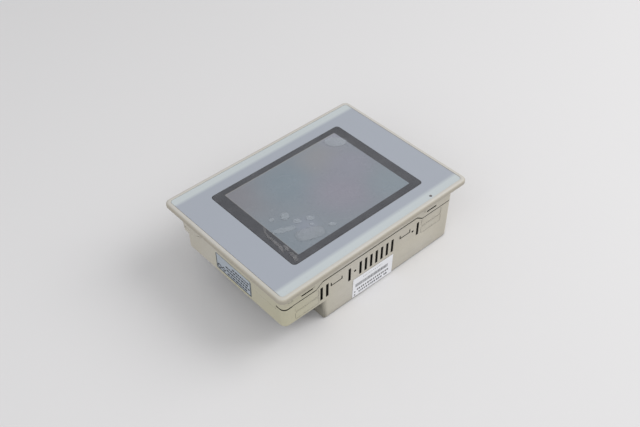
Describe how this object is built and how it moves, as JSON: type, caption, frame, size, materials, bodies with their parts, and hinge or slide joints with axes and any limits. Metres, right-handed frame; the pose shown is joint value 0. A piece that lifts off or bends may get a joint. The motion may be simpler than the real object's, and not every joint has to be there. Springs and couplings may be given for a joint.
{
  "type": "touch screen operator panel",
  "caption": "Flush-mounting touch screen operator panel: ivory bezel, blue-grey front sheet, dark window border and a stepped, vented rear case with ports, terminals, switches and hatches.",
  "frame": {"origin": "under the middle of the front bezel, on the plane of the rear face that it lies on", "axes": "+X along the screen's long side to its right, +Y towards the screen's top edge, +Z out of the screen"},
  "size_m": [0.195, 0.142, 0.06],
  "materials": {
    "ivory_case": "fine-textured ivory moulding",
    "overlay_sheet": "satin printed polyester, blue-grey with paler bands",
    "window_border": "satin dark grey print",
    "clear_film": "thin clear protective film",
    "touch_glass": "smooth satin glass over an unlit display",
    "lcd_glass": "smooth polariser",
    "diffuser": "milky acrylic",
    "black_plastic": "moulded black plastic",
    "lamp_lens": "smoked lens, unlit",
    "gasket_rubber": "soft black rubber",
    "circuit_board": "green solder mask",
    "steel": "zinc-plated steel",
    "polyimide": "amber flexible circuit",
    "cable_jacket": "grey flat cable",
    "sleeve_blue": "shrink sleeve",
    "switch_blue": "moulded blue plastic",
    "white_plastic": "moulded white plastic",
    "grey_plastic": "moulded grey plastic",
    "paper_label": "white paper sticker with plain grey bars",
    "foil_label": "pale blue-grey foil sticker with plain dark bars"
  },
  "bodies": {
    "housing": {"front_case": "ivory_case", "rear_cover": "ivory_case", "front_overlay": "overlay_sheet", "window_border": "window_border", "protective_film": "clear_film", "touch_panel": "touch_glass", "panel_gasket": "gasket_rubber", "led_light_pipe": "lamp_lens", "status_led": "lamp_lens", "lcd_cell": "lcd_glass", "lcd_frame": "steel", "light_guide": "diffuser", "backlight_reflector": "white_plastic", "backlight_tube": "diffuser", "lcd_driver_board": "circuit_board", "display_cable": "cable_jacket", "touch_cable": "polyimide", "chassis_plate": "steel", "main_board": "circuit_board", "processor": "black_plastic", "program_memory": "black_plastic", "heat_sink": "steel", "buzzer": "black_plastic", "power_board": "circuit_board", "power_capacitor": "sleeve_blue", "power_inductor": "black_plastic", "inverter_board": "circuit_board", "inverter_transformer": "sleeve_blue", "battery_holder": "black_plastic", "battery_cell": "sleeve_blue", "port_board": "circuit_board", "port_a_shell": "steel", "port_a_insulator": "black_plastic", "port_a_post_1": "steel", "port_a_post_2": "steel", "port_b_shell": "steel", "port_b_insulator": "black_plastic", "port_b_post_1": "steel", "port_b_post_2": "steel", "expansion_connector": "black_plastic", "dip_switch": "switch_blue", "reset_switch": "black_plastic", "terminal_block": "black_plastic", "case_screw_1": "steel", "case_screw_2": "steel", "case_screw_3": "steel", "case_screw_4": "steel", "serial_label": "paper_label", "rating_label": "foil_label"},
    "battery_cover": {"battery_cover": "ivory_case"},
    "expansion_cover": {"expansion_cover": "ivory_case"},
    "terminal_cover": {"terminal_cover": "grey_plastic"},
    "reset_button": {"reset_button": "grey_plastic"},
    "dip_slider_1": {"dip_slider_1": "white_plastic"},
    "dip_slider_2": {"dip_slider_2": "white_plastic"},
    "dip_slider_3": {"dip_slider_3": "white_plastic"},
    "dip_slider_4": {"dip_slider_4": "white_plastic"},
    "terminal_screw_1": {"terminal_screw_1": "steel"},
    "terminal_screw_2": {"terminal_screw_2": "steel"},
    "terminal_screw_3": {"terminal_screw_3": "steel"}
  },
  "joints": [
    {"name": "battery_cover_hinge", "type": "hinge", "parent": "housing", "child": "battery_cover", "pos_m": [0.048, 0.0499, 0.0076], "axis": [-1, 0, 0], "range_deg": [0, 95]},
    {"name": "expansion_cover_pull", "type": "slide", "parent": "housing", "child": "expansion_cover", "axis": [1, 0, 0], "range_m": [0, 0.012]},
    {"name": "terminal_cover_hinge", "type": "hinge", "parent": "housing", "child": "terminal_cover", "pos_m": [-0.0736, 0.0305, 0.0122], "axis": [0, -1, 0], "range_deg": [0, 110]},
    {"name": "reset_button_press", "type": "slide", "parent": "housing", "child": "reset_button", "axis": [0, 0, 1], "range_m": [0, 0.0008], "stiffness_N_per_m": 500},
    {"name": "dip_slider_1_slide", "type": "slide", "parent": "housing", "child": "dip_slider_1", "axis": [1, 0, 0], "range_m": [0, 0.0016]},
    {"name": "dip_slider_2_slide", "type": "slide", "parent": "housing", "child": "dip_slider_2", "axis": [1, 0, 0], "range_m": [0, 0.0016]},
    {"name": "dip_slider_3_slide", "type": "slide", "parent": "housing", "child": "dip_slider_3", "axis": [1, 0, 0], "range_m": [0, 0.0016]},
    {"name": "dip_slider_4_slide", "type": "slide", "parent": "housing", "child": "dip_slider_4", "axis": [1, 0, 0], "range_m": [0, 0.0016]},
    {"name": "terminal_screw_1_turn", "type": "hinge", "parent": "housing", "child": "terminal_screw_1", "pos_m": [-0.0795, 0.02217, 0.0155], "axis": [0, 0, -1], "range_deg": [0, 720]},
    {"name": "terminal_screw_2_turn", "type": "hinge", "parent": "housing", "child": "terminal_screw_2", "pos_m": [-0.0795, 0.0305, 0.0155], "axis": [0, 0, -1], "range_deg": [0, 720]},
    {"name": "terminal_screw_3_turn", "type": "hinge", "parent": "housing", "child": "terminal_screw_3", "pos_m": [-0.0795, 0.03883, 0.0155], "axis": [0, 0, -1], "range_deg": [0, 720]}
  ]
}
